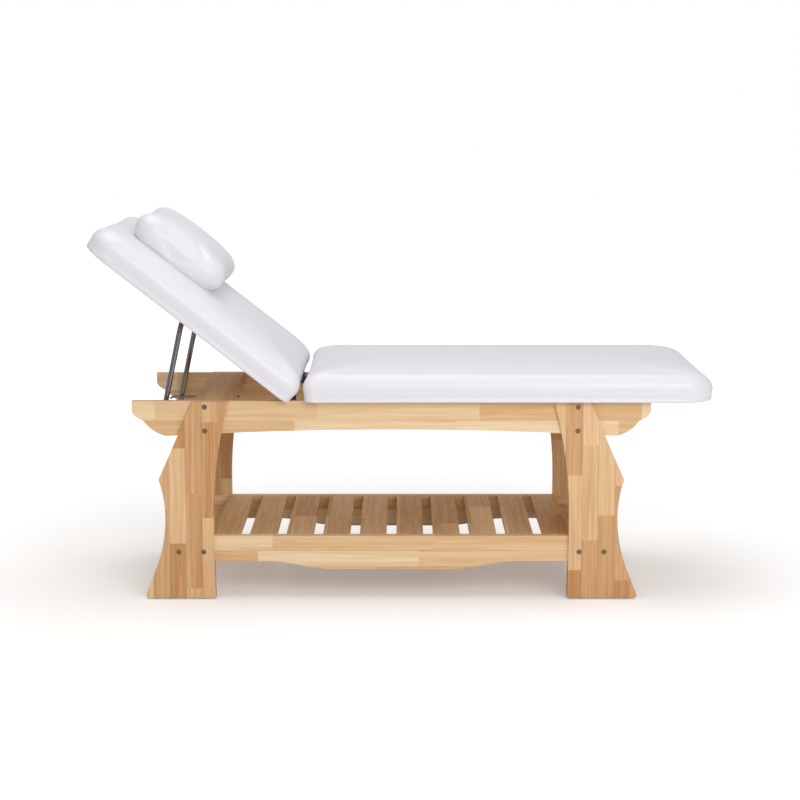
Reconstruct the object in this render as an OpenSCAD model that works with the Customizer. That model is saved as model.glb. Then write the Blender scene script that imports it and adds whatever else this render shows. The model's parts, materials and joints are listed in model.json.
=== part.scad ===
// Wooden spa bed: trestle frame with a slatted shelf, fixed seat pad, lifting backrest and pillow.
// X runs along the bed from head to foot, Y across it, Z up from the floor.

/* [Frame] */
// Length of the upper rails
frame_l = 1440; // [1300:10:1600]
// Width over the outer faces of the rails
frame_w = 596; // [560:10:680]
// Height of the rail tops above the floor
frame_h = 561; // [520:5:600]
// Thickness of the rails
rail_t = 25; // [20:1:30]
// Depth of an upper rail at the middle
rail_mid_d = 80; // [70:1:90]
// Extra depth of an upper rail where its end curve starts
rail_arch = 18; // [10:1:30]
// Height of the shelf top above the floor
shelf_h = 180; // [160:1:200]
// Depth of a lower rail at its ends
lower_d = 72; // [60:1:80]
// Extra depth of a lower rail at its belly
lower_belly = 23; // [10:1:30]

/* [Legs] */
// Thickness of a leg
leg_t = 35; // [32:1:44]
// How far a leg stands out in front of the rails
leg_proud = 10; // [8:1:16]
// Width of a leg at the top
leg_top_w = 100; // [90:1:120]
// Distance from the middle of the bed to a leg's inner top corner
leg_inner_x = 451; // [430:1:480]
// How far the inner edge moves out from the top to the waist
leg_inner_lean = 45; // [20:1:50]
// Distance from the middle of the bed to the knee of a leg
leg_knee_x = 648; // [630:1:660]
// Distance from the middle of the bed to the waist of a leg
leg_waist_x = 630.5; // [610:0.5:640]
// Distance from the middle of the bed to the outer toe of a leg
leg_toe_x = 688; // [670:1:700]
// Height of the knee
leg_knee_z = 341; // [310:1:350]
// Height of the waist
leg_waist_z = 236; // [200:1:240]
// Height of the glides under a leg
glide_h = 4; // [3:1:8]
// Diameter of a glide
glide_d = 12; // [10:1:18]

/* [Cross members] */
// Width of the flat planks between the legs
plank_w = 100; // [80:1:120]
// Thickness of the flat planks
plank_t = 30; // [24:1:34]
// Width of the flat stretchers below the shelf
stretcher_w = 110; // [90:1:120]
// Width of the batten under the backrest hinge
batten_w = 45; // [35:1:60]
// Depth of the batten under the backrest hinge
batten_d = 44; // [38:1:60]

/* [Shelf] */
// Number of slats
slat_n = 10; // [8:1:10]
// Width of a slat
slat_w = 75; // [60:1:78]
// Thickness of a slat
slat_t = 14; // [10:1:18]
// Open gap between two slats
slat_gap = 28.1; // [20:0.1:32]
// Side of the square cleats that carry the slats
cleat_s = 20; // [16:1:24]

/* [Upholstery] */
// Length of the seat pad
seat_l = 1137; // [1050:1:1200]
// Length of the backrest pad
back_l = 712; // [680:1:760]
// Width of both pads
pad_w = 690; // [620:2:720]
// Thickness of both pads at the edge
pad_t = 78; // [70:1:100]
// Rise of a pad's top from the edge to the middle
pad_crown = 20; // [4:1:26]
// Radius of a pad's upper edge
pad_edge_r = 24; // [14:1:30]
// Radius of the corners at the hinge, seen from above
pad_corner_r = 22; // [14:1:40]
// Radius of the corners at the foot and head, seen from above
pad_outer_r = 70; // [40:1:110]
// How far a long side pulls in between its corners
pad_draw = 4; // [0:0.5:8]
// Thickness of the plywood boards in the pads
board_t = 15; // [12:1:18]
// Length of the pillow, along the backrest
pillow_l = 262; // [250:1:320]
// Width of the pillow, across the backrest
pillow_w = 430; // [400:1:560]
// Thickness of the pillow at its edge
pillow_t = 48; // [40:1:70]

/* [Backrest] */
// Angle of the raised backrest
recline = 38.2; // [20:0.1:40]
// Height of the hinge axis above the pads' underside
hinge_rise = 43; // [35:1:50]
// Distance from the hinge axis to the backrest's end face
hinge_back = 24.9; // [24:0.1:36]
// Distance from the hinge axis to the pivot of the prop, along the backrest
prop_reach = 342.8; // [330:0.1:360]
// Drop of the prop's pivot below the backrest's underside
prop_drop = 13.4; // [12:0.1:20]
// Lean of the prop from upright, in degrees
prop_lean = 12; // [10:0.1:14]
// Diameter of the prop's bar
prop_d = 15; // [10:0.1:16]
// Height of the prop's feet when the backrest is raised
prop_foot_z = 476; // [445:1:490]

/* [Fasteners] */
// Diameter of the furniture bolts
bolt_d = 8; // [6:1:8]
// Diameter of a bolt's head
bolt_head_d = 14; // [12:1:15]
// Depth of the counterbore for a bolt's head
bolt_sink = 6; // [4:1:7]
// Diameter of the barrel nuts in the cross members
barrel_d = 12; // [10:1:14]
// Diameter of the hinge and prop pins
pin_d = 6; // [5:1:8]

/* [Hidden] */

wood = "burlywood";
pale_wood = "wheat";
vinyl = "lavender";
steel = "silver";
dark_steel = "dimgray";

// Clearances and small common sizes
run = 0.05;
fit = 0.3;
over = 2;
round_fn = 48;

// Where the pieces stand across the bed
rail_out = frame_w / 2;
rail_in = rail_out - rail_t;
leg_out = rail_out + leg_proud;
leg_in = leg_out - leg_t;
frame_foot = glide_h;

// Where the pieces stand along the bed
leg_mid_x = leg_inner_x + leg_top_w / 2;
leg_outer_x = leg_inner_x + leg_top_w;
leg_inner_waist_x = leg_inner_x + leg_inner_lean;
toe_bend_z = 84;
toe_bend_x = 660;
seat_gap = 7.5;
hinge_x = -279.4;
hinge_z = frame_h + hinge_rise;
back_end_x = hinge_x + hinge_back;
seat_end_x = back_end_x + seat_gap;
foot_end_x = seat_end_x + seat_l;

// Outline of the upper rail's nose, measured in from the end and down from the top
nose_drop = 24;
nose_r = 24;
nose_turn = 60;
cove_in = 32;
cove_down = 56;
sweep_in = 94;
sweep_r = 110;

// Lower rail
lower_l = 1256;
belly_flat = 165;
belly_end = 352;

// Leg outline
leg_curve_n = 10;
toe_r = 8;
toe_spread = 3;
toe_share = 0.29;

// Pads
lean_seat = 2;
lean_back = 1;
lean_reach = 70;
board_in = 20;
board_recess = 12;
side_puff = 3;

// Hinge parts
ear_t = 5;
ear_r = 13;
ear_drop = 70;
ear_y = 245;
hinge_leaf_t = 4;
hinge_leaf_w = 40;
hinge_leaf_l = 84;
batten_gap = 12;
batten_x = seat_end_x + batten_gap;
slot_side = 1;
back_lift = 0.5;
slot_rise = 17;
slot_back = 16;
pin_head_t = 1.5;
pin_head_d = 9;
ear_screw_y = ear_y - hinge_leaf_w / 2;
ear_screw_z = [frame_h - batten_d * 0.3, frame_h - batten_d * 0.75];
leaf_y = ear_y - ear_t / 2 - fit - hinge_leaf_t;
leaf_screw_y = leaf_y - hinge_leaf_w / 2;
leaf_screw_x = [hinge_x - hinge_leaf_l * 0.45, hinge_x - hinge_leaf_l * 0.85];
hinge_pin_in = leaf_y - fit;
hinge_pin_out = ear_y + ear_t / 2;
back_z = frame_h + back_lift;

// Prop parts
prop_y = 252.5;
prop_bend_r = 24;
cheek_t = 3;
clip_y = 190;
clip_w = 18;
clip_l = 62;
clip_d = 22;
clip_screw_in = 22;
foot_pin_d = 8;
foot_pin_up = 18;
guide_d = 6;
guide_y = 236;
guide_z = 494;
guide_gap = 0.5;
guide_x0 = -664;
guide_x1 = -464;
guide_bend = 25;
guide_tip = 13;
guide_plate_x0 = -546;
guide_plate_x1 = -478;
guide_plate_w = 24;
guide_screw_x = [-530, -494];
guide_screw_y = guide_y - guide_plate_w / 2 - over;
plank_low = frame_h - plank_t;
prop_flat_x = hinge_x - prop_reach;
prop_flat_z = frame_h - prop_drop;
prop_dx = prop_flat_x - hinge_x;
prop_dz = prop_flat_z - hinge_z;
prop_x = hinge_x + prop_dx * cos(recline) + prop_dz * sin(recline);
prop_z = hinge_z - prop_dx * sin(recline) + prop_dz * cos(recline);
prop_l = (prop_z - prop_foot_z) / cos(prop_lean);
prop_screw_x = [prop_flat_x - clip_screw_in, prop_flat_x + clip_screw_in];

// Bolts, from the top of the frame and from the leg's middle
bolt_top_down = plank_t / 2;
bolt_low_down = 82;
upper_bolt_x = 517;
bolt_clear = 0.3;
bolt_grip = 46;
barrel_in = 30;
shelf_bolt_z = 136;
shelf_bolt_x1 = 525;
shelf_bolt_x2 = 594;
bolt_head_t = 5;
socket_d = 7;
socket_deep = 3;
cap_nut_t = 7;
cap_nut_d = 13;
barrel_l = 22;

// Small screws
screw_d = 4;
screw_head_d = 7;
screw_head_t = 2.4;
screw_l = 22;
short_screw = 20;
board_screw_in = 12;

// Points on a circular arc from p to q; a positive radius bulges to the left of the way
function arc_points(p, q, r, n) =
  let (
    chord = norm(q - p),
    mid = (p + q) / 2,
    along = (q - p) / chord,
    side = [-along[1], along[0]],
    depth = sqrt(r * r - chord * chord / 4),
    centre = mid - side * depth * sign(r),
    a0 = atan2(p[1] - centre[1], p[0] - centre[0]),
    half = asin(chord / 2 / abs(r)),
    turn = -2 * half * sign(r)
  )
  [for (i = [0 : n]) centre + abs(r) * [cos(a0 + turn * i / n), sin(a0 + turn * i / n)]];

function mirrored(points) = [for (i = [len(points) - 1 : -1 : 0]) [-points[i][0], points[i][1]]];

// One end of the upper rail, from the top corner down to the start of the arch
function nose_outline() =
  let (
    end_x = -frame_l / 2,
    deep = rail_mid_d + rail_arch,
    nose = [for (i = [0 : 6]) let (a = 180 + nose_turn * i / 6)
      [end_x + nose_r + nose_r * cos(a), frame_h - nose_drop + nose_r * sin(a)]],
    cove = [end_x + cove_in, frame_h - cove_down],
    heel = [end_x + sweep_in, frame_h - deep]
  )
  concat([[end_x, frame_h]], nose, arc_points(cove, heel, -sweep_r, 6));

// The whole upper rail: two noses joined by the shallow arch of the lower edge
function upper_rail_outline() =
  let (
    half_arch = frame_l / 2 - sweep_in,
    arch_r = (half_arch * half_arch + rail_arch * rail_arch) / (2 * rail_arch),
    low = frame_h - rail_mid_d - rail_arch,
    arch = arc_points([-half_arch, low], [half_arch, low], arch_r, 24)
  )
  concat(nose_outline(), [for (i = [1 : 23]) arch[i]], mirrored(nose_outline()));

// The lower rail: a straight top edge and a belly with soft shoulders
function belly_drop(x) =
  let (t = min(max((abs(x) - belly_flat) / (belly_end - belly_flat), 0), 1))
  lower_belly * (1 + cos(180 * t)) / 2;

function lower_rail_outline() =
  let (
    n = 12,
    low = shelf_h - lower_d,
    left = [for (i = [0 : n]) let (x = -belly_end + (belly_end - belly_flat) * i / n)
      [x, low - belly_drop(x)]]
  )
  concat(
    [[-lower_l / 2, shelf_h], [-lower_l / 2, low]],
    left,
    mirrored(left),
    [[lower_l / 2, low], [lower_l / 2, shelf_h]]
  );

// Radius of an edge that leaves the waist upright and has moved aside by dx at the height dz
function bow_r(dx, dz) = (dx * dx + dz * dz) / (2 * dx);
function bow(r, dz) = r - sqrt(r * r - dz * dz);

// A head leg: slanted shoulder down to the knee, waist, then a spread toe
function leg_outline() =
  let (
    n = leg_curve_n,
    foot = frame_foot,
    outer_up_r = bow_r(leg_knee_x - leg_waist_x, leg_knee_z - leg_waist_z),
    outer_down_r = bow_r(toe_bend_x - leg_waist_x, leg_waist_z - toe_bend_z),
    inner_up_r = bow_r(leg_inner_lean, frame_h - leg_waist_z),
    inner_down_r = bow_r(toe_spread, leg_waist_z - foot),
    outer_up = [for (i = [0 : n]) let (z = leg_knee_z + (leg_waist_z - leg_knee_z) * i / n)
      [-leg_waist_x - bow(outer_up_r, z - leg_waist_z), z]],
    outer_down = [for (i = [1 : n]) let (z = leg_waist_z + (toe_bend_z - leg_waist_z) * i / n)
      [-leg_waist_x - bow(outer_down_r, leg_waist_z - z), z]],
    inner_down = [for (i = [0 : n - 1]) let (z = foot + (leg_waist_z - foot) * i / n)
      [-leg_inner_waist_x + bow(inner_down_r, leg_waist_z - z), z]],
    inner_up = [for (i = [0 : n]) let (z = leg_waist_z + (frame_h - leg_waist_z) * i / n)
      [-leg_inner_waist_x + bow(inner_up_r, z - leg_waist_z), z]]
  )
  concat(
    [[-leg_outer_x, frame_h]],
    outer_up,
    outer_down,
    [[-leg_toe_x, foot + toe_r]],
    [[-leg_toe_x + toe_r * toe_share, foot + toe_r * toe_share]],
    [[-leg_toe_x + toe_r, foot]],
    inner_down,
    inner_up
  );

// Outline of a pad seen from above: rounded corners and sides that pull in between them
function pad_side(p, q, n, draw) =
  let (d = q - p, side = [-d[1], d[0]] / norm(d))
  [for (i = [1 : n - 1]) p + d * i / n + side * draw * sin(180 * i / n)];

function pad_corner(x, y, r, a0) =
  [for (i = [0 : 5]) let (a = a0 + 18 * i) [x + r * cos(a), y + r * sin(a)]];

// x0 is the end with the small corners, x1 the end with the large ones
function pad_outline(x0, x1, w, r0, r1, draw) =
  let (
    s = sign(x1 - x0),
    h = w / 2,
    c1 = pad_corner(x1 - s * r1, h - r1, r1, s > 0 ? 0 : 90),
    c2 = pad_corner(x0 + s * r0, h - r0, r0, s > 0 ? 90 : 0),
    ca = s > 0 ? c1 : c2,
    cb = s > 0 ? c2 : c1,
    upper = concat(ca, pad_side(ca[5], cb[0], 10, draw), cb),
    lower = [for (i = [len(upper) - 1 : -1 : 0]) [upper[i][0], -upper[i][1]]],
    last = upper[len(upper) - 1],
    first = upper[0]
  )
  concat(
    upper,
    pad_side(last, [last[0], -last[1]], 6, draw / 2),
    lower,
    pad_side([first[0], -first[1]], first, 6, draw / 2)
  );

// Moves an outline inwards by d, square to the pad's sides
function pad_inset(outline, d, cx, hl, hw) =
  [for (p = outline) [cx + (p[0] - cx) * (1 - d / hl), p[1] * (1 - d / hw)]];

// Rings of a pad from the underside to the crown: [inset, height]
function pad_rings(t, edge_r, crown, hw) =
  concat(
    [[side_puff * 2, 0], [side_puff / 2, t * 0.12], [0, t * 0.4]],
    [for (i = [0 : 5]) let (a = 18 * i) [edge_r * (1 - cos(a)), t - edge_r + edge_r * sin(a)]],
    [for (i = [1 : 4]) let (f = i / 5) [edge_r + (hw - edge_r) * f, t + crown * (1 - (1 - f) * (1 - f))]]
  );

// A closed pad; end_x and lean tip the face at the hinge end back as it rises
module pad_solid(outline, cx, hl, hw, t, edge_r, crown, end_x, lean) {
  rings = pad_rings(t, edge_r, crown, min(hl, hw));
  n = len(outline);
  m = len(rings);
  away = sign(cx - end_x);
  flat_points = [for (r = rings) for (p = pad_inset(outline, r[0], cx, hl, hw)) [p[0], p[1], r[1]]];
  points = [for (p = flat_points) let (near = max(1 - abs(p[0] - end_x) / lean_reach, 0))
    [p[0] + away * lean * min(p[2] / t, 1) * near, p[1], p[2]]];
  polyhedron(
    points = concat(points, [[cx, 0, t + crown], [cx, 0, 0]]),
    faces = concat(
      [for (j = [0 : m - 2]) for (i = [0 : n - 1]) [j * n + i, (j + 1) * n + i, (j + 1) * n + (i + 1) % n]],
      [for (j = [0 : m - 2]) for (i = [0 : n - 1])
        [j * n + i, (j + 1) * n + (i + 1) % n, j * n + (i + 1) % n]],
      [for (i = [0 : n - 1]) [(m - 1) * n + i, m * n, (m - 1) * n + (i + 1) % n]],
      [for (i = [0 : n - 1]) [(i + 1) % n, m * n + 1, i]]
    ),
    convexity = 6
  );
}

// The backrest's head end at the raised angle sets the left end of the whole bed
back_head_x = back_end_x - back_l;
back_outline = pad_outline(back_end_x, back_head_x, pad_w, pad_corner_r, pad_outer_r, pad_draw);
back_cx = (back_end_x + back_head_x) / 2;
function raised_x(x, z) = hinge_x + (x - hinge_x) * cos(recline) + (z - hinge_z) * sin(recline);
back_left_x = min([for (r = pad_rings(pad_t, pad_edge_r, pad_crown, pad_w / 2))
  for (p = pad_inset(back_outline, r[0], back_cx, back_l / 2, pad_w / 2)) raised_x(p[0], back_z + r[1])]);
x_shift = -(back_left_x + foot_end_x) / 2;

module placed() translate([x_shift, 0, 0]) children();

// Turns the backrest and what it carries up about the hinge axis
module raised()
  translate([hinge_x, 0, hinge_z]) rotate([0, recline, 0]) translate([-hinge_x, 0, -hinge_z]) children();

// A board that stands on edge, from y0 across by t
module upright(y0, t) translate([0, y0 + t, 0]) rotate([90, 0, 0]) linear_extrude(t) children();

module block(x0, x1, y0, y1, z0, z1) translate([x0, y0, z0]) cube([x1 - x0, y1 - y0, z1 - z0]);

module near_side(near) if (near) mirror([0, 1, 0]) children(); else children();
module foot_side(foot) if (foot) mirror([1, 0, 0]) children(); else children();

// A round bar along Y from y0 to y1
module cross_bar(x, z, d, y0, y1)
  translate([x, y0, z]) rotate([-90, 0, 0]) cylinder(d = d, h = y1 - y0, $fn = round_fn);

module upper_rail_blank() upright(rail_in, rail_t) polygon(upper_rail_outline());
module lower_rail_blank() upright(rail_in, rail_t) polygon(lower_rail_outline());

// The places of a head leg's four bolts: x, z, and whether a barrel nut takes it
leg_bolts = [
  [-upper_bolt_x, frame_h - bolt_top_down],
  [-upper_bolt_x, frame_h - bolt_low_down],
  [-shelf_bolt_x1, shelf_bolt_z],
  [-shelf_bolt_x2, shelf_bolt_z]
];
barrel_bolts = [leg_bolts[0], leg_bolts[2], leg_bolts[3]];

module bolt_holes(places, from_y, to_y)
  for (b = places) cross_bar(b[0], b[1], bolt_d + 2 * bolt_clear, from_y, to_y);

module leg(near, foot)
  color(wood) placed() foot_side(foot) near_side(near) difference() {
    upright(leg_in, leg_t) polygon(leg_outline());
    upper_rail_blank();
    lower_rail_blank();
    bolt_holes(leg_bolts, leg_in - over, leg_out + over);
    for (b = leg_bolts)
      cross_bar(b[0], b[1], bolt_head_d + 2 * bolt_clear, leg_out - bolt_sink, leg_out + over);
  }

module upper_rail(near)
  color(pale_wood) placed() near_side(near) difference() {
    upper_rail_blank();
    for (foot = [false, true]) foot_side(foot)
      bolt_holes([leg_bolts[0], leg_bolts[1]], rail_in - over, rail_out + over);
    for (x = dowel_x) cross_bar(x, frame_h - batten_d / 2, dowel_d, rail_in - over, rail_in + dowel_deep);
  }

module lower_rail(near)
  color(pale_wood) placed() near_side(near) difference() {
    lower_rail_blank();
    for (foot = [false, true]) foot_side(foot)
      bolt_holes([leg_bolts[2], leg_bolts[3]], rail_in - over, rail_out + over);
  }

// A flat cross member between the rails, bored for its bolts and their barrel nuts
module cross_member(x_mid, w, z_mid, bolts, foot)
  color(wood) placed() foot_side(foot) difference() {
    block(x_mid - w / 2, x_mid + w / 2, -rail_in, rail_in, z_mid - plank_t / 2, z_mid + plank_t / 2);
    for (near = [false, true]) near_side(near) for (b = bolts) {
      cross_bar(b[0], b[1], bolt_d + 2 * bolt_clear, rail_in - bolt_grip - over, rail_in + over);
      translate([b[0], rail_in - barrel_in, z_mid - plank_t / 2 - over])
        cylinder(d = barrel_d, h = plank_t / 2 + barrel_l / 2 + over, $fn = round_fn);
    }
  }

module head_plank()
  difference() {
    cross_member(-leg_mid_x, plank_w, frame_h - plank_t / 2, [leg_bolts[0]], false);
    placed() for (s = [-1, 1]) for (x = guide_screw_x) translate([x, s * guide_screw_y, plank_low - over])
      cylinder(d = screw_d, h = screw_l + over, $fn = round_fn);
  }

module foot_plank()
  difference() {
    cross_member(-leg_mid_x, plank_w, frame_h - plank_t / 2, [leg_bolts[0]], true);
    placed() for (s = [-1, 1]) translate([leg_mid_x, s * board_screw_y, plank_low - over])
      cylinder(d = screw_d, h = plank_t + 2 * over, $fn = round_fn);
  }

module stretcher(foot)
  cross_member(-(shelf_bolt_x1 + shelf_bolt_x2) / 2, stretcher_w, shelf_bolt_z,
    [leg_bolts[2], leg_bolts[3]], foot);

board_screw_y = rail_in / 2;
dowel_d = 8;
dowel_deep = 12;
dowel_l = 40;
dowel_x = [batten_x + batten_w * 0.25, batten_x + batten_w * 0.75];

module hinge_batten()
  color(wood) placed() difference() {
    block(batten_x, batten_x + batten_w, -rail_in, rail_in, frame_h - batten_d, frame_h);
    for (s = [-1, 1]) translate([batten_x + batten_w / 2, s * board_screw_y, frame_h - batten_d - over])
      cylinder(d = screw_d, h = batten_d + 2 * over, $fn = round_fn);
    for (s = [-1, 1]) for (z = ear_screw_z)
      translate([batten_x - over, s * ear_screw_y, z]) rotate([0, 90, 0])
        cylinder(d = screw_d, h = screw_l + over, $fn = round_fn);
    for (near = [false, true]) near_side(near) for (x = dowel_x)
      cross_bar(x, frame_h - batten_d / 2, dowel_d, rail_in + dowel_deep - dowel_l, rail_in + over);
  }

module batten_dowels()
  color(wood) placed() for (near = [false, true]) near_side(near) for (x = dowel_x)
    cross_bar(x, frame_h - batten_d / 2, dowel_d, rail_in + dowel_deep - dowel_l, rail_in + dowel_deep);

// Shelf
slat_pitch = slat_w + slat_gap;
slat_x0 = -(slat_n - 1) * slat_pitch / 2;
cleat_top = shelf_h - slat_t;
slat_screw_y = rail_in - cleat_s / 2;

module cleat(near)
  color(wood) placed() near_side(near) difference() {
    block(slat_x0 - slat_w / 2, -slat_x0 + slat_w / 2,
      rail_in - cleat_s, rail_in, cleat_top - cleat_s, cleat_top);
    for (i = [0 : slat_n - 1])
      translate([slat_x0 + i * slat_pitch, slat_screw_y, cleat_top - screw_l + slat_t])
        cylinder(d = screw_d, h = screw_l, $fn = round_fn);
  }

module slat(i)
  color(pale_wood) placed() if (i < slat_n) translate([slat_x0 + i * slat_pitch, 0, 0]) difference() {
    block(-slat_w / 2, slat_w / 2, -rail_in, rail_in, cleat_top, shelf_h);
    for (s = [-1, 1]) translate([0, s * slat_screw_y, cleat_top - over]) {
      cylinder(d = screw_d, h = slat_t + 2 * over, $fn = round_fn);
      translate([0, 0, slat_t + over - screw_head_t])
        cylinder(d = screw_head_d, h = screw_head_t + over, $fn = round_fn);
    }
  }

module slat_screws()
  color(steel) placed() for (i = [0 : slat_n - 1]) for (s = [-1, 1])
    translate([slat_x0 + i * slat_pitch, s * slat_screw_y, shelf_h]) {
      translate([0, 0, -screw_head_t]) cylinder(d = screw_head_d, h = screw_head_t, $fn = round_fn);
      translate([0, 0, -screw_l]) cylinder(d = screw_d, h = screw_l, $fn = round_fn);
    }

// Boards and pads
module board_plate(x0, x1, z)
  translate([0, 0, z]) linear_extrude(board_t)
    polygon(pad_inset(pad_outline(x0, x1, pad_w, pad_corner_r, pad_outer_r, pad_draw), board_recess,
      (x0 + x1) / 2, abs(x1 - x0) / 2, pad_w / 2));

module seat_board()
  color(wood) placed() difference() {
    board_plate(seat_end_x, foot_end_x, frame_h);
    for (s = [-1, 1]) for (x = [batten_x + batten_w / 2, leg_mid_x])
      translate([x, s * board_screw_y, frame_h - over])
        cylinder(d = screw_d, h = over + board_t / 2, $fn = round_fn);
  }

module seat_cushion()
  color(vinyl) placed() difference() {
    translate([0, 0, frame_h])
      pad_solid(pad_outline(seat_end_x, foot_end_x, pad_w, pad_corner_r, pad_outer_r, pad_draw),
        (seat_end_x + foot_end_x) / 2,
        seat_l / 2, pad_w / 2, pad_t, pad_edge_r, pad_crown, seat_end_x, lean_seat);
    board_plate(seat_end_x, foot_end_x, frame_h);
  }

// Cuts that let the backrest turn: slots for the ears, and the relief of its lower edge
slot_y0 = leaf_y - fit - pin_head_t - slot_side;
slot_y1 = ear_y + ear_t / 2 + pin_head_t + slot_side;

module ear_slots()
  for (near = [false, true]) near_side(near)
    block(hinge_x - slot_back, back_end_x + over, slot_y0, slot_y1, frame_h - over, hinge_z + slot_rise);

// Its lower end edge is rounded about the hinge axis, so that it never dips onto the rails as it turns
module edge_relief()
  difference() {
    block(hinge_x, back_end_x + over, -pad_w, pad_w, frame_h - over, hinge_z);
    cross_bar(hinge_x, hinge_z, 2 * (hinge_rise - fit), -pad_w - over, pad_w + over);
  }

module backrest_holes(d)
  for (s = [-1, 1]) {
    for (x = prop_screw_x) translate([x, s * clip_y, back_z - over])
      cylinder(d = d, h = board_t, $fn = round_fn);
    for (x = leaf_screw_x) translate([x, s * leaf_screw_y, back_z - over])
      cylinder(d = d, h = board_t, $fn = round_fn);
  }

module backrest_board()
  color(wood) placed() raised() difference() {
    board_plate(back_end_x - board_in + board_recess, back_head_x, back_z);
    ear_slots();
    backrest_holes(screw_d);
  }

module backrest_pad()
  translate([0, 0, back_z])
    pad_solid(back_outline, back_cx, back_l / 2, pad_w / 2, pad_t, pad_edge_r, pad_crown,
      back_end_x, lean_back);

module backrest_cushion()
  color(vinyl) placed() raised() difference() {
    backrest_pad();
    board_plate(back_end_x - board_in + board_recess, back_head_x, back_z);
    ear_slots();
    edge_relief();
  }

// The pillow lies on the upper part of the backrest
pillow_from = 364;
pillow_x1 = back_end_x - pillow_from;
pillow_x0 = pillow_x1 - pillow_l;
pillow_corner_r = 46;
pillow_edge_r = 22;
pillow_crown = 12;
pillow_sink = 6;

module pillow()
  color(vinyl) placed() raised() difference() {
    translate([0, 0, back_z + pad_t + pillow_sink])
      pad_solid(pad_outline(pillow_x0, pillow_x1, pillow_w, pillow_corner_r, pillow_corner_r, pad_draw),
        (pillow_x0 + pillow_x1) / 2, pillow_l / 2, pillow_w / 2, pillow_t, pillow_edge_r, pillow_crown,
        pillow_x1, 0);
    backrest_pad();
  }

// Hinges: an ear on the batten, a leaf under the backrest and a pin through both
module frame_hinge(near)
  color(steel) placed() near_side(near) difference() {
    union() {
      block(batten_x - hinge_leaf_t, batten_x, ear_y - hinge_leaf_w, ear_y + ear_t / 2,
        frame_h - batten_d, frame_h - 2 * fit);
      upright(ear_y - ear_t / 2, ear_t) {
        translate([hinge_x - ear_r, hinge_z - ear_drop]) square([2 * ear_r, ear_drop]);
        translate([hinge_x - ear_r, hinge_z - ear_drop])
          square([batten_x - hinge_x + ear_r, ear_drop - hinge_rise - 2 * fit - ear_t]);
        translate([hinge_x, hinge_z]) circle(r = ear_r, $fn = round_fn);
      }
    }
    cross_bar(hinge_x, hinge_z, pin_d, 0, rail_out);
    for (z = ear_screw_z) translate([batten_x - hinge_leaf_t - over, ear_screw_y, z]) rotate([0, 90, 0])
      cylinder(d = screw_d, h = hinge_leaf_t + 2 * over, $fn = round_fn);
  }

module backrest_hinge(near)
  color(steel) placed() raised() near_side(near) difference() {
    union() {
      block(hinge_x - hinge_leaf_l, hinge_x - slot_back, leaf_y - hinge_leaf_w, leaf_y + hinge_leaf_t,
        back_z - cheek_t, back_z);
      upright(leaf_y, hinge_leaf_t) {
        translate([hinge_x - slot_back + fit, back_z - cheek_t])
          square([slot_back - fit + ear_r / 2, hinge_z - back_z + cheek_t]);
        translate([hinge_x - slot_back - over, back_z - cheek_t]) square([over + fit, cheek_t]);
        translate([hinge_x, hinge_z]) circle(r = ear_r, $fn = round_fn);
      }
    }
    cross_bar(hinge_x, hinge_z, pin_d + 2 * run, 0, rail_out);
    for (x = leaf_screw_x) translate([x, leaf_screw_y, back_z - cheek_t - over])
      cylinder(d = screw_d, h = cheek_t + 2 * over, $fn = round_fn);
  }

module hinge_pins()
  color(steel) placed() for (near = [false, true]) near_side(near) {
    cross_bar(hinge_x, hinge_z, pin_d, hinge_pin_in, hinge_pin_out + pin_head_t);
    cross_bar(hinge_x, hinge_z, pin_head_d, hinge_pin_in - pin_head_t, hinge_pin_in);
    cross_bar(hinge_x, hinge_z, pin_head_d, hinge_pin_out, hinge_pin_out + pin_head_t);
  }

// Prop: a bent tube that turns in two clips under the backrest; its feet slide along the guide rods
module prop_bail()
  color(steel) placed() translate([prop_x, 0, prop_z]) rotate([0, prop_lean, 0]) union() {
    cross_bar(0, 0, prop_d, -prop_y + prop_bend_r, prop_y - prop_bend_r);
    for (near = [false, true]) near_side(near) {
      translate([0, prop_y, -prop_l]) cylinder(d = prop_d, h = prop_l - prop_bend_r, $fn = round_fn);
      translate([0, prop_y - prop_bend_r, -prop_bend_r]) rotate([0, -90, 0])
        rotate_extrude(angle = 90, $fn = round_fn) translate([prop_bend_r, 0])
          circle(d = prop_d, $fn = round_fn / 2);
      cross_bar(0, foot_pin_up - prop_l, foot_pin_d, guide_y + guide_d / 2 + guide_gap, prop_y);
    }
  }

module prop_bracket(near)
  color(steel) placed() raised() near_side(near) difference() {
    union() {
      block(prop_flat_x - clip_l / 2, prop_flat_x + clip_l / 2, clip_y - clip_w / 2, clip_y + clip_w / 2,
        back_z - cheek_t, back_z);
      cross_bar(prop_flat_x, prop_flat_z, clip_d, clip_y - clip_w / 2, clip_y + clip_w / 2);
    }
    cross_bar(prop_flat_x, prop_flat_z, prop_d + 2 * run, 0, rail_out);
    for (x = prop_screw_x) translate([x, clip_y, back_z - cheek_t - over])
      cylinder(d = screw_d, h = cheek_t + 2 * over, $fn = round_fn);
  }

// A guide rod hangs from the head plank by a folded plate; its head end is free and bent down
module prop_guide(near)
  color(steel) placed() near_side(near) difference() {
    union() {
      cross_rod(guide_x0, guide_x1);
      translate([guide_x0, guide_y, guide_z]) rotate([0, -90 - guide_bend, 0])
        cylinder(d = guide_d, h = guide_tip, $fn = round_fn);
      translate([guide_x0, guide_y, guide_z]) sphere(d = guide_d, $fn = round_fn / 2);
      block(guide_plate_x0, guide_plate_x1, guide_y - guide_d / 2, guide_y, guide_z, plank_low);
      block(guide_plate_x0, guide_plate_x1, guide_y - guide_plate_w, guide_y,
        plank_low - cheek_t, plank_low);
    }
    for (x = guide_screw_x) translate([x, guide_screw_y, plank_low - cheek_t - over])
      cylinder(d = screw_d, h = cheek_t + 2 * over, $fn = round_fn);
  }

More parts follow.
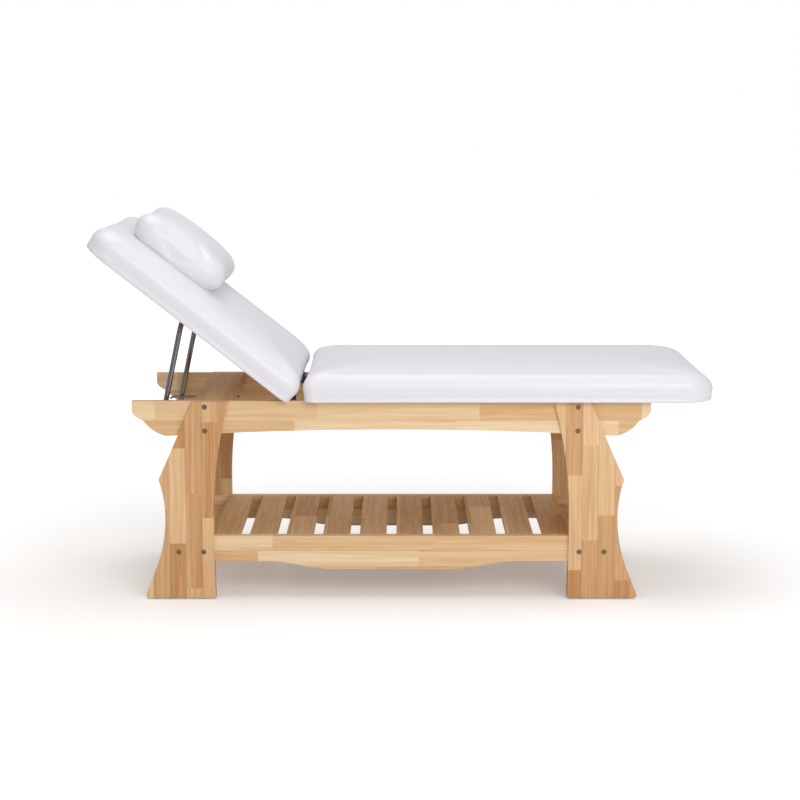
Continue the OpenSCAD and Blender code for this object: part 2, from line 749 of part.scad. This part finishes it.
module cross_rod(x0, x1)
  translate([x0, guide_y, guide_z]) rotate([0, 90, 0]) cylinder(d = guide_d, h = x1 - x0, $fn = round_fn);

// Bolts with a socket head in a counterbore, their barrel nuts and the cap nuts on the rails
module bolt(x, z, to_y) {
  difference() {
    cross_bar(x, z, bolt_head_d, leg_out - bolt_sink, leg_out - bolt_sink + bolt_head_t);
    translate([x, leg_out - bolt_sink + bolt_head_t - socket_deep, z]) rotate([-90, 0, 0])
      cylinder(d = socket_d, h = socket_deep + over, $fn = 6);
  }
  cross_bar(x, z, bolt_d, to_y, leg_out - bolt_sink);
}

module corners()
  for (foot = [false, true]) foot_side(foot) for (near = [false, true]) near_side(near) children();

module frame_bolts()
  color(dark_steel) placed() corners() {
    for (b = barrel_bolts) bolt(b[0], b[1], rail_in - bolt_grip);
    bolt(leg_bolts[1][0], leg_bolts[1][1], rail_in - cap_nut_t + over);
  }

module barrel_nuts()
  color(steel) placed() corners() for (b = barrel_bolts) difference() {
    translate([b[0], rail_in - barrel_in, b[1] - plank_t / 2])
      cylinder(d = barrel_d, h = plank_t / 2 + barrel_l / 2, $fn = round_fn);
    cross_bar(b[0], b[1], bolt_d, rail_in - barrel_in - barrel_d, rail_in);
  }

module cap_nuts()
  color(steel) placed() corners() difference() {
    cross_bar(leg_bolts[1][0], leg_bolts[1][1], cap_nut_d, rail_in - cap_nut_t, rail_in);
    cross_bar(leg_bolts[1][0], leg_bolts[1][1], bolt_d, rail_in - cap_nut_t + over, rail_in + over);
  }

// Screws through the batten and the foot plank into the seat board
module board_screws()
  color(steel) placed() for (s = [-1, 1]) {
    translate([batten_x + batten_w / 2, s * board_screw_y, frame_h - batten_d])
      cylinder(d = screw_d, h = batten_d + board_t / 2, $fn = round_fn);
    translate([leg_mid_x, s * board_screw_y, plank_low])
      cylinder(d = screw_d, h = plank_t + board_t / 2, $fn = round_fn);
  }

module screw_along(l) {
  cylinder(d = screw_head_d, h = screw_head_t, $fn = round_fn);
  translate([0, 0, screw_head_t]) cylinder(d = screw_d, h = l, $fn = round_fn);
}

module frame_screws()
  color(steel) placed() for (near = [false, true]) near_side(near) {
    for (z = ear_screw_z)
      translate([batten_x - hinge_leaf_t - screw_head_t, ear_screw_y, z]) rotate([0, 90, 0])
        screw_along(hinge_leaf_t + short_screw);
    for (x = guide_screw_x) translate([x, guide_screw_y, plank_low - cheek_t - screw_head_t])
      screw_along(cheek_t + short_screw);
  }

module backrest_screws()
  color(steel) placed() raised() for (s = [-1, 1]) {
    for (x = prop_screw_x) translate([x, s * clip_y, back_z - cheek_t - screw_head_t])
      screw_along(cheek_t + board_screw_in);
    for (x = leaf_screw_x) translate([x, s * leaf_screw_y, back_z - cheek_t - screw_head_t])
      screw_along(cheek_t + board_screw_in);
  }

glide_x = [656, 528];

module glides()
  color(dark_steel) placed() corners() for (x = glide_x)
    translate([-x, (leg_in + leg_out) / 2, 0])
      cylinder(d1 = glide_d * 0.8, d2 = glide_d, h = glide_h, $fn = round_fn);

leg(true, false);  // leg_head_near
leg(false, false);  // leg_head_far
leg(true, true);  // leg_foot_near
leg(false, true);  // leg_foot_far
upper_rail(true);  // upper_rail_near
upper_rail(false);  // upper_rail_far
lower_rail(true);  // lower_rail_near
lower_rail(false);  // lower_rail_far
head_plank();
foot_plank();
stretcher(false);  // head_stretcher
stretcher(true);  // foot_stretcher
hinge_batten();
cleat(true);  // cleat_near
cleat(false);  // cleat_far
slat(0);  // slat_1
slat(1);  // slat_2
slat(2);  // slat_3
slat(3);  // slat_4
slat(4);  // slat_5
slat(5);  // slat_6
slat(6);  // slat_7
slat(7);  // slat_8
slat(8);  // slat_9
slat(9);  // slat_10
seat_board();
seat_cushion();
backrest_board();
backrest_cushion();
pillow();
frame_hinge(true);  // frame_hinge_near
frame_hinge(false);  // frame_hinge_far
backrest_hinge(true);  // backrest_hinge_near
backrest_hinge(false);  // backrest_hinge_far
hinge_pins();
prop_bail();
prop_bracket(true);  // prop_bracket_near
prop_bracket(false);  // prop_bracket_far
prop_guide(true);  // prop_guide_near
prop_guide(false);  // prop_guide_far
frame_bolts();
barrel_nuts();
cap_nuts();
slat_screws();
board_screws();
frame_screws();
backrest_screws();
batten_dowels();
glides();
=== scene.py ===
import math
import bpy
import bmesh
from mathutils import Matrix, Vector, noise
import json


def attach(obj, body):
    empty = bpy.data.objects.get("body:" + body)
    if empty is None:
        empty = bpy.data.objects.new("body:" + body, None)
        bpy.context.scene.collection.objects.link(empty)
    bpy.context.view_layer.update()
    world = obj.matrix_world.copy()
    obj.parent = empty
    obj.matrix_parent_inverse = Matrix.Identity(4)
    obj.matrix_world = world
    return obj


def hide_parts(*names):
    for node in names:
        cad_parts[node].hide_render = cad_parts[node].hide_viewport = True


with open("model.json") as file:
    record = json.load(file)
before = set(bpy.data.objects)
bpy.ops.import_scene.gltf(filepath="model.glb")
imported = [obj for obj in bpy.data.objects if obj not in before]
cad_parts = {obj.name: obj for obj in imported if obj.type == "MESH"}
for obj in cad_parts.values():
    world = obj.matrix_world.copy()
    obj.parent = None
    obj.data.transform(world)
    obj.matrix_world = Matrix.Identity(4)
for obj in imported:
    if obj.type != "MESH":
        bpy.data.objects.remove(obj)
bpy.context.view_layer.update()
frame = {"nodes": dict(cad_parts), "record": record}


# Legs: four panels, each glued up from 46 mm strips of rubberwood and band-sawn to the waisted outline.
# Each is notched over the rails and bolted to them, its edges eased with a round-over bit.
def paint(hex_colour):
    """An sRGB hex colour as linear RGBA."""
    parts = [int(hex_colour[i:i + 2], 16) / 255 for i in (1, 3, 5)]
    return [c / 12.92 if c <= 0.04045 else ((c + 0.055) / 1.055) ** 2.4 for c in parts] + [1.0]


def add(tree, kind, inputs=None, **settings):
    """Adds a shader node, sets its properties, and sets or links its inputs."""
    made = tree.nodes.new(kind)
    for key, value in settings.items():
        setattr(made, key, value)
    for key, value in (inputs or {}).items():
        if isinstance(value, bpy.types.NodeSocket):
            tree.links.new(value, made.inputs[key])
        else:
            made.inputs[key].default_value = value
    return made


def new_material(name):
    """A new material with its node tree and its Principled shader."""
    material = bpy.data.materials.new(name)
    material.use_nodes = True
    return material, material.node_tree, material.node_tree.nodes["Principled BSDF"]


def smooth_by_angle(mesh, degrees):
    """Smooth shading, broken where two faces meet at more than this angle."""
    for polygon in mesh.polygons:
        polygon.use_smooth = True
    mesh.set_sharp_from_angle(angle=math.radians(degrees))


def soften_edges(obj, width):
    """A small round on every hard edge of a machined piece."""
    bevel = obj.modifiers.new("eased edges", "BEVEL")
    bevel.width = width
    bevel.segments = 3
    bevel.limit_method = "ANGLE"
    bevel.angle_limit = math.radians(35)
    bevel.harden_normals = True
    bevel.use_clamp_overlap = True


def lacquered_wood(name, grain, across, strip, light, dark, line, block=0.42):
    """Edge-glued boards under clear satin lacquer, in strips of their own tone, butt-jointed along the grain.

    strip is the strips' width and block their length, in metres, and line is how dark the glue lines are."""
    streaks_across, streaks_along = 90.0, 3.2  # per metre, coarser than real pores so that they show
    glue_width = 0.0011
    material, tree, shader = new_material(name)
    place = add(tree, "ShaderNodeTexCoord").outputs["Object"]
    apart = add(tree, "ShaderNodeSeparateXYZ", {"Vector": place})
    along = apart.outputs["XYZ".index(grain)]
    side = apart.outputs["XYZ".index(across)]
    # each strip starts its row of blocks at its own place, and each block has its own tone
    column = add(tree, "ShaderNodeMath", {0: side, 1: strip}, operation="DIVIDE")
    column_i = add(tree, "ShaderNodeMath", {0: column.outputs[0]}, operation="FLOOR").outputs[0]
    offset = add(tree, "ShaderNodeTexWhiteNoise", {"W": column_i}, noise_dimensions="1D").outputs["Value"]
    row = add(tree, "ShaderNodeMath", {0: along, 1: block}, operation="DIVIDE")
    row = add(tree, "ShaderNodeMath", {0: row.outputs[0], 1: offset}, operation="ADD")
    row_i = add(tree, "ShaderNodeMath", {0: row.outputs[0]}, operation="FLOOR").outputs[0]
    cell = add(tree, "ShaderNodeCombineXYZ", {"X": column_i, "Y": row_i})
    tone = add(tree, "ShaderNodeTexWhiteNoise", {"Vector": cell.outputs[0]}, noise_dimensions="2D")
    tone = tone.outputs["Value"]
    # grain: noise stretched along the fibre, shifted from block to block
    shifted = add(tree, "ShaderNodeMath", {0: tone, 1: 3.7}, operation="MULTIPLY").outputs[0]
    stretch = [streaks_across] * 3
    stretch["XYZ".index(grain)] = streaks_along
    moved = add(tree, "ShaderNodeVectorMath", {0: place, 1: shifted}, operation="ADD")
    scaled = add(tree, "ShaderNodeVectorMath", {0: moved.outputs[0], 1: stretch}, operation="MULTIPLY")
    fibre = add(tree, "ShaderNodeTexNoise", {"Vector": scaled.outputs[0], "Scale": 1.0, "Detail": 5.0,
                                             "Roughness": 0.62, "Distortion": 0.6})
    broad = add(tree, "ShaderNodeVectorMath", {0: scaled.outputs[0], "Scale": 0.22}, operation="SCALE")
    cloud = add(tree, "ShaderNodeTexNoise", {"Vector": broad.outputs[0], "Scale": 1.0, "Detail": 2.0})
    fibre_part = add(tree, "ShaderNodeMapRange", {"Value": fibre.outputs["Fac"], "From Min": 0.3,
                                                  "From Max": 0.72})
    mixed = add(tree, "ShaderNodeMath", {0: fibre_part.outputs[0], 1: 0.44}, operation="MULTIPLY").outputs[0]
    tone_part = add(tree, "ShaderNodeMath", {0: tone, 1: 0.52}, operation="MULTIPLY").outputs[0]
    cloud_part = add(tree, "ShaderNodeMath", {0: cloud.outputs["Fac"], 1: 0.3}, operation="MULTIPLY")
    cloud_part = cloud_part.outputs[0]
    total = add(tree, "ShaderNodeMath", {0: mixed, 1: tone_part}, operation="ADD").outputs[0]
    total = add(tree, "ShaderNodeMath", {0: total, 1: cloud_part}, operation="ADD").outputs[0]
    ramp = add(tree, "ShaderNodeValToRGB", {"Fac": total})
    ramp.color_ramp.elements[0].position = 0.18
    ramp.color_ramp.elements[0].color = paint(light)
    ramp.color_ramp.elements[1].position = 0.92
    ramp.color_ramp.elements[1].color = paint(dark)
    # glue lines: a thin darker line at each strip's edge
    inside = add(tree, "ShaderNodeMath", {0: column.outputs[0]}, operation="FRACT").outputs[0]
    centre = add(tree, "ShaderNodeMath", {0: inside, 1: 0.5}, operation="SUBTRACT").outputs[0]
    edge = add(tree, "ShaderNodeMath", {0: centre}, operation="ABSOLUTE").outputs[0]
    glue = add(tree, "ShaderNodeMapRange", {"Value": edge, "From Min": 0.5 - glue_width / strip,
                                            "From Max": 0.5, "To Min": 1.0, "To Max": 1.0 - line})
    wood = add(tree, "ShaderNodeMix", {"Factor": 1.0, 6: ramp.outputs["Color"]}, data_type="RGBA",
               blend_type="MULTIPLY")
    tree.links.new(glue.outputs[0], wood.inputs[7])
    tree.links.new(wood.outputs[2], shader.inputs["Base Color"])
    bump = add(tree, "ShaderNodeBump", {"Height": fibre.outputs["Fac"], "Strength": 0.06, "Distance": 0.0006})
    tree.links.new(bump.outputs[0], shader.inputs["Normal"])
    shader.inputs["Roughness"].default_value = 0.5
    shader.inputs["Specular IOR Level"].default_value = 0.22
    return material


def dress(names, material, edge=0.0):
    """The CAD nodes of these names shown as they are, with a finish and eased edges."""
    for name in names:
        obj = frame["nodes"][name]
        obj.data.materials.clear()
        obj.data.materials.append(material)
        smooth_by_angle(obj.data, 32)
        if edge:
            soften_edges(obj, edge)


dress(["leg_head_near", "leg_head_far", "leg_foot_near", "leg_foot_far"],
      lacquered_wood("rubberwood leg panels, satin lacquer", "Z", "X", 0.046, "#ECCA9C", "#BF8A58",
                     line=0.3, block=0.27), 0.003)

# Upper and lower rails: long boards on edge, each glued up from two laminations and shaped at ends or belly.
# They run through the notches of the legs from end to end.
dress(["upper_rail_near", "upper_rail_far"],
      lacquered_wood("rubberwood upper rails, satin lacquer", "X", "Z", 0.0563, "#F4DDB8", "#D6AB7A",
                     line=0.25, block=0.45), 0.003)
dress(["lower_rail_near", "lower_rail_far"],
      lacquered_wood("rubberwood lower rails, satin lacquer", "X", "Z", 0.0457, "#F2D9B2", "#D2A472",
                     line=0.25, block=0.45), 0.003)

# Cross members: flat planks between the legs, low stretchers, the batten under the hinge and slat cleats.
# They are plain planed boards, bolted, dowelled or screwed between the rails.
dress(["head_plank", "foot_plank", "head_stretcher", "foot_stretcher", "hinge_batten", "batten_dowels"],
      lacquered_wood("rubberwood cross members, satin lacquer", "Y", "X", 0.05, "#DDBB8B", "#BF8E58",
                     line=0.3, block=0.5), 0.002)
dress(["cleat_near", "cleat_far"],
      lacquered_wood("pine cleats, clear lacquer", "X", "Z", 0.2, "#D9B684", "#BE9560", line=0.0),
      0.001)

# Shelf: ten planed slats laid across the cleats and screwed down, flush with the top of the lower rails.
# The slats are the same wood as the rails and each one has its own tone.
dress(["slat_%d" % i for i in range(1, 11)],
      lacquered_wood("rubberwood shelf slats, satin lacquer", "Y", "X", 0.1031, "#EAC68F", "#BE8B50",
                     line=0.0, block=0.9), 0.0025)

# Boards: raw plywood panels under the seat and the backrest, to which the vinyl is stapled.
# They show only from below and behind.
dress(["seat_board", "backrest_board"],
      lacquered_wood("birch plywood boards, raw", "X", "Y", 0.6, "#D8BD92", "#C5A271", line=0.0, block=3.0))


# Prop: a chrome-plated steel tube bent to a U, turning in two saddle clips screwed under the backrest.
# Its feet slide along two chromed guide rods that hang from the head plank.
def plain_finish(name, colour, roughness, metallic=0.0):
    """A finish of one even colour, such as plating, lacquer or moulded plastic."""
    material, _, shader = new_material(name)
    shader.inputs["Base Color"].default_value = paint(colour)
    shader.inputs["Metallic"].default_value = metallic
    shader.inputs["Roughness"].default_value = roughness
    return material


# the mirror finish is set darker than bare chrome, as the photograph's studio is mostly dark to it
dress(["prop_bail", "prop_bracket_near", "prop_bracket_far", "prop_guide_near", "prop_guide_far"],
      plain_finish("chrome plate on steel tube", "#82807E", 0.12, metallic=1.0))

# Small hardware: zinc-plated steel pins, screws and nuts, satin from the plating bath.
# They hold the hinges, the boards, the slats and the prop's clips.
dress(["hinge_pins", "barrel_nuts", "cap_nuts",
       "slat_screws", "board_screws", "frame_screws", "backrest_screws"],
      plain_finish("zinc-plated steel", "#A9A8A4", 0.34, metallic=1.0))

# Hinge ears and leaves: pressed steel under black lacquer, which leaves them dark with a dull sheen.
# They are screwed to the batten and to the underside of the backrest board.
dress(["frame_hinge_near", "frame_hinge_far", "backrest_hinge_near", "backrest_hinge_far"],
      plain_finish("black lacquer on pressed steel", "#3A3836", 0.45, metallic=0.4))

# Frame bolts: furniture bolts with a hexagon socket, plated dark bronze, sunk in counterbores in the legs.
# Each clamps a leg and a rail to a barrel nut in the cross member behind.
dress(["frame_bolts"],
      plain_finish("dark bronze plate on furniture bolts", "#86705A", 0.3, metallic=1.0))

# Glides: small black plastic nail-on glides, two under each leg.
# They keep the wood off the floor.
dress(["glides"], plain_finish("black polyethylene glides", "#1C1C1D", 0.55))


# Seat pad: white upholstery vinyl over foam on a plywood board, fixed to the frame.
# Its cover is a top panel sewn to a side strip, drawn tight over the foam and stapled under the board.
def upholstery_vinyl():
    """Calendered vinyl: a fine pressed leather grain and a satin sheen that rolls over soft foam."""
    material, tree, shader = new_material("white upholstery vinyl")
    place = add(tree, "ShaderNodeTexCoord").outputs["Object"]
    leather = add(tree, "ShaderNodeTexVoronoi", {"Vector": place, "Scale": 900.0}, feature="DISTANCE_TO_EDGE")
    soft = add(tree, "ShaderNodeTexNoise", {"Vector": place, "Scale": 14.0, "Detail": 3.0})
    fine = add(tree, "ShaderNodeBump", {"Height": leather.outputs["Distance"], "Strength": 0.1,
                                        "Distance": 0.0003})
    wide = add(tree, "ShaderNodeBump", {"Height": soft.outputs["Fac"], "Strength": 0.25, "Distance": 0.002,
                                        "Normal": fine.outputs[0]})
    tree.links.new(wide.outputs[0], shader.inputs["Normal"])
    shader.inputs["Base Color"].default_value = paint("#E4E2E7")
    shader.inputs["Roughness"].default_value = 0.36
    shader.inputs["Specular IOR Level"].default_value = 0.45
    return material


def round_outline(x0, x1, w, r0, r1, draw, step=0.012):
    """A pad's outline from above, counter-clockwise, with its sides pulled in by draw.

    r0 rounds the corners of the x0 end and r1 those of the x1 end."""
    def arc(cx, cy, r, a0):
        n = max(6, int(r * math.pi / 2 / step))
        turns = [math.radians(a0 + 90 * i / n) for i in range(n + 1)]
        return [(cx + r * math.cos(a), cy + r * math.sin(a)) for a in turns]

    h = w / 2
    runs = [arc(x1 - r1, h - r1, r1, 0), arc(x0 + r0, h - r0, r0, 90),
            arc(x0 + r0, -h + r0, r0, 180), arc(x1 - r1, -h + r1, r1, 270)]
    points = []
    for i, run in enumerate(runs):
        points += run
        a, b = Vector(run[-1]), Vector(runs[(i + 1) % 4][0])
        n = max(4, int((b - a).length / step))
        side = Vector((-(b - a).y, (b - a).x)).normalized()
        for k in range(1, n):
            points.append(tuple(a + (b - a) * k / n + side * draw * math.sin(math.pi * k / n)))
    return points


def pad(name, x0, x1, w, r0, r1, t, crown, edge, z0, tuck, wrinkle=0.0007, seed=1.0, draw=0.003, floor=None):
    """A closed pad as rings of one outline: underside, side, rolled edge and crowned top.

    t is its thickness under the crown, edge the roll's radius, tuck how far the side draws in at its foot,
    and floor gives the height of what the pad lies on."""
    outline = round_outline(x0, x1, w, r0, r1, draw)
    n = len(outline)
    cx, hl, hw = (x0 + x1) / 2, (x1 - x0) / 2, w / 2
    small = min(hl, hw)
    side_top = t - edge
    hem = 0.0006
    side_rings, edge_rings, top_rings = 8, 12, 18
    # each ring is how far it stands in from the outline and how high it is
    rings = [(small * f, 0.0) for f in (0.75, 0.5, 0.25)]
    rings += [(tuck + 0.02, 0.0), (tuck + 0.004, 0.0), (tuck, hem)]
    rings += [(tuck * (1 - k / side_rings) ** 2, hem + (side_top - hem) * k / side_rings)
              for k in range(1, side_rings)]
    for k in range(edge_rings + 1):
        a = math.radians(90 * k / edge_rings)
        rings.append((edge * (1 - math.cos(a)), side_top + edge * math.sin(a)))
    reach = small * 0.94 - edge
    for k in range(1, top_rings + 1):
        f = k / top_rings
        rings.append((edge + reach * f, t + crown * (1 - (1 - f) ** 2)))
    mesh = bpy.data.meshes.new(name)
    shape = bmesh.new()
    grid = []
    for inset, z in rings:
        row = []
        for x, y in outline:
            px, py = cx + (x - cx) * (1 - inset / hl), y * (1 - inset / hw)
            lift = 0.0
            if floor and z == 0.0:
                lift = floor(px, py)
            if floor and 0 < z < side_top:
                lift = floor(px, py) * (1 - z / side_top)
            row.append(shape.verts.new((px, py, z0 + z + lift)))
        grid.append(row)
    for j in range(len(rings) - 1):
        for i in range(n):
            k = (i + 1) % n
            shape.faces.new((grid[j][i], grid[j][k], grid[j + 1][k], grid[j + 1][i]))
    top = shape.verts.new((cx, 0, z0 + t + crown))
    low = shape.verts.new((cx, 0, z0 + (floor(cx, 0) if floor else 0)))
    for i in range(n):
        k = (i + 1) % n
        shape.faces.new((grid[-1][i], grid[-1][k], top))
        shape.faces.new((grid[0][k], grid[0][i], low))
    shape.normal_update()
    # the cover isn't quite flat: small puckers where it is drawn under, broad soft waves over the rest
    pucker_height, pucker_spread, still_below = 0.02, 0.018, 0.008
    for vert in shape.verts:
        x, y, z = vert.co
        h = z - z0
        near_seam = math.exp(-((h - pucker_height) / pucker_spread) ** 2)
        ripple = noise.noise(Vector((x * 38 * seed, y * 38, 3.1 * seed)))
        slow = noise.noise(Vector((x * 7 + seed, y * 7, z * 11)))
        amount = wrinkle * (ripple * near_seam + 0.9 * slow * min(h / pucker_height, 1.0))
        if h > still_below:
            vert.co += vert.normal * amount
    shape.to_mesh(mesh)
    shape.free()
    obj = bpy.data.objects.new(name, mesh)
    bpy.context.collection.objects.link(obj)
    return obj


def settle(obj, z0, pressure, cap=0.005):
    """Lets the cover swell as cloth under a little pressure, held by its underside, by no more than cap."""
    group = obj.vertex_groups.new(name="stapled")
    start = [v.co.copy() for v in obj.data.vertices]
    held = [i for i, co in enumerate(start) if co.z < z0 + 0.006]
    group.add(held, 1.0, "REPLACE")
    cloth = obj.modifiers.new("cover", "CLOTH")
    cover = cloth.settings
    cover.quality = 6
    cover.mass = 0.35
    cover.tension_stiffness = cover.compression_stiffness = 25
    cover.shear_stiffness = 10
    cover.bending_stiffness = 1.5
    cover.use_pressure = True
    cover.uniform_pressure_force = pressure
    cover.vertex_group_mass = "stapled"
    cover.effector_weights.gravity = 0
    frames = 20
    cloth.point_cache.frame_start = 1
    cloth.point_cache.frame_end = frames
    scene = bpy.context.scene
    for f in range(1, frames + 1):
        scene.frame_set(f)
    done = obj.evaluated_get(bpy.context.evaluated_depsgraph_get())
    moved = [v.co.copy() for v in done.data.vertices]
    obj.modifiers.remove(cloth)
    obj.vertex_groups.remove(group)
    for v, a, b in zip(obj.data.vertices, start, moved):
        step = b - a
        if step.length > cap:
            step *= cap / step.length
        v.co = a + step
    scene.frame_set(1)


vinyl = upholstery_vinyl()


def finish_pad(obj, cad, body, turn=None):
    """Covers a pad in vinyl, turns it to the raised pose and hands it to the body that carries it."""
    for polygon in obj.data.polygons:
        polygon.use_smooth = True
    if turn:
        obj.data.transform(turn)
    obj.data.materials.append(vinyl)
    smooth = obj.modifiers.new("smooth cover", "SUBSURF")
    smooth.levels = smooth.render_levels = 1
    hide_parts(cad)
    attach(obj, body)


# places along the bed are given from a zero 279.4 mm footward of the hinge, which lies at shift in the frame
hinge_from_zero = -0.2794
joint = frame["record"]["behaviour"]["joints"][0]
shift = joint["pos_m"][0] - hinge_from_zero
pad_width, pad_thick, pad_crown, pad_edge, pad_tuck = 0.688, 0.080, 0.018, 0.040, 0.008
inner_corner = 0.03

seat_z = 0.561
seat_head, seat_foot = shift - 0.2482, shift + 0.8995
seat = pad("seat_pad", seat_head, seat_foot, pad_width, inner_corner, 0.085, pad_thick, pad_crown, pad_edge,
           seat_z, pad_tuck, seed=1.0)
settle(seat, seat_z, pressure=3.0)
roll_length, roll_drop = 0.08, 0.22
for vert in seat.data.vertices:
    # the foot end rolls down further than the sides
    past = max(0.0, (vert.co.x - (seat_foot - roll_length)) / roll_length)
    vert.co.z = seat_z + (vert.co.z - seat_z) * (1 - roll_drop * min(past, 1.0) ** 2)
finish_pad(seat, "seat_cushion", "frame")

# Backrest pad: the same vinyl over foam on its own board, hinged at its lower end.
# It is built lying flat and then turned up about the hinge to the raised pose.
hinge = Vector((shift + hinge_from_zero, 0, joint["pos_m"][2]))
raised = math.radians(-joint["range_deg"][0])
raise_back = Matrix.Translation(hinge) @ Matrix.Rotation(raised, 4, "Y") @ Matrix.Translation(-hinge)
back_z = 0.5615
back = pad("backrest_pad", shift - 0.9655, shift - 0.2490, pad_width, 0.070, inner_corner, pad_thick,
           pad_crown, pad_edge, back_z, pad_tuck, seed=1.7)
settle(back, back_z, pressure=3.0)
roll_between_rails, roll_over_rails, rail_side = 0.0424, 0.0475, 0.302
for vert in back.data.vertices:
    # the lower end edge is rolled round the hinge axis, so that the pad turns clear of the rails
    out = Vector((vert.co.x - hinge.x, vert.co.z - hinge.z))
    limit = roll_between_rails if abs(vert.co.y) < rail_side else roll_over_rails
    if out.x > -0.004 and out.y < 0 and out.length > limit:
        out *= limit / out.length
        vert.co.x, vert.co.z = hinge.x + out.x, hinge.z + out.y
finish_pad(back, "backrest_cushion", "backrest", raise_back)


# Pillow: a boxed foam pillow in the same vinyl, lying loose across the upper end of the backrest.
# Its weight is small, so its underside follows the backrest's crown and its cover puckers a little.
def back_crown(x, y):
    """Height of the backrest's crown above its underside, so that the pillow's underside lies on it."""
    half_width, edge_roll, crown_run = 0.345, 0.024, 0.30
    edge_height, crown_height = 0.078, 0.0185
    f = min(max((half_width - abs(y) - edge_roll) / crown_run, 0.0), 1.0)
    return edge_height + crown_height * (1 - (1 - f) ** 2)


pillow_z = back_z + 0.0855
sunk = 0.0845
pillow = pad("head_pillow", shift - 0.8990, shift - 0.5990, 0.440, 0.055, 0.055, 0.084, 0.016, 0.032,
             pillow_z, 0.016, wrinkle=0.0018, seed=2.3, draw=0.003,
             floor=lambda x, y: back_crown(x, y) - sunk)
settle(pillow, back_z + 0.09, pressure=4.0, cap=0.006)
finish_pad(pillow, "pillow", "backrest", raise_back)


# Floor: a plain pale sheet for the studio picture, which isn't part of the bed.
# To the camera it glows a little, less near the bed, so that the shadow stays there and the rest is white.
def studio_floor():
    material, tree, shader = new_material("white studio floor")
    shader.inputs["Base Color"].default_value = paint("#F6F5F4")
    shader.inputs["Roughness"].default_value = 0.95
    shader.inputs["Specular IOR Level"].default_value = 0.0
    shader.inputs["Emission Color"].default_value = paint("#FFFFFF")
    seen = add(tree, "ShaderNodeLightPath").outputs["Is Camera Ray"]
    place = add(tree, "ShaderNodeTexCoord").outputs["Object"]
    away = add(tree, "ShaderNodeVectorMath", {0: place}, operation="LENGTH").outputs["Value"]
    fade = add(tree, "ShaderNodeMapRange", {"Value": away, "From Min": 1.0, "From Max": 3.0, "To Min": 0.2,
                                            "To Max": 0.62}, interpolation_type="SMOOTHSTEP")
    glow = add(tree, "ShaderNodeMath", {0: seen, 1: fade.outputs[0]}, operation="MULTIPLY")
    tree.links.new(glow.outputs[0], shader.inputs["Emission Strength"])
    mesh = bpy.data.meshes.new("studio_floor")
    left, right, front, rear = -12, 12, -9, 15
    mesh.from_pydata([(left, front, 0), (right, front, 0), (right, rear, 0), (left, rear, 0)], [],
                     [(0, 1, 2, 3)])
    mesh.materials.append(material)
    sheet = bpy.data.objects.new("studio_floor", mesh)
    bpy.context.collection.objects.link(sheet)
    return sheet


studio_floor()


# Black cards: they stand beside the camera and give the chrome its dark stripes.
# Only reflections see them, so that they hide and shade nothing from any side.
def black_card(name, x, y, width):
    material, _, shader = new_material(name)
    shader.inputs["Base Color"].default_value = paint("#0A0A0A")
    shader.inputs["Roughness"].default_value = 1.0
    mesh = bpy.data.meshes.new(name)
    half, low, high = width / 2, 0.02, 2.2
    mesh.from_pydata([(x - half, y, low), (x + half, y, low), (x + half, y, high), (x - half, y, high)], [],
                     [(0, 1, 2, 3)])
    mesh.materials.append(material)
    card = bpy.data.objects.new(name, mesh)
    bpy.context.collection.objects.link(card)
    card.visible_camera = card.visible_diffuse = card.visible_shadow = card.visible_transmission = False


black_card("black card left", -1.45, -3.0, 0.7)
black_card("black card right", 1.75, -3.2, 0.8)


# Studio: an even white surround, one broad soft light in front and a weaker one overhead.
# The surround is white to the camera and dimmer as a light, so that the pads keep their shading.
def studio_light(name, place, aim, size, watts):
    data = bpy.data.lights.new(name, "AREA")
    data.shape = "RECTANGLE"
    data.size, data.size_y = size
    data.energy = watts
    light = bpy.data.objects.new(name, data)
    light.location = place
    light.rotation_euler = (Vector(aim) - Vector(place)).to_track_quat("-Z", "Y").to_euler()
    bpy.context.collection.objects.link(light)


studio_light("front softbox", place=(1.6, -4.6, 2.4), aim=(0, 0, 0.5), size=(3.0, 2.0), watts=97)
studio_light("overhead softbox", place=(-0.4, 0.2, 4.2), aim=(0, 0, 0.4), size=(3.5, 2.5), watts=55)

world = bpy.data.worlds.new("white surround")
bpy.context.scene.world = world
world.use_nodes = True
air = world.node_tree
background = air.nodes["Background"]
path = add(air, "ShaderNodeLightPath")
shade = add(air, "ShaderNodeMix", {"Factor": path.outputs["Is Camera Ray"], 6: [0.55, 0.55, 0.555, 1.0],
                                   7: [1.0, 1.0, 1.0, 1.0]}, data_type="RGBA")
air.links.new(shade.outputs[2], background.inputs["Color"])

# Camera: an 88 mm lens 5.6 m away and 1.4 m up, looking 8.6 degrees down, as in the photograph.
camera_data = bpy.data.cameras.new("photo camera")
camera_data.lens = 87.75
camera_data.sensor_width = 36
camera = bpy.data.objects.new("photo camera", camera_data)
camera.location = (shift + 0.024, -5.636, 1.3745)
look_down = 8.63
camera.rotation_euler = (math.radians(90 - look_down), 0, 0)
bpy.context.collection.objects.link(camera)
bpy.context.scene.camera = camera
bpy.context.scene.view_settings.view_transform = "Standard"
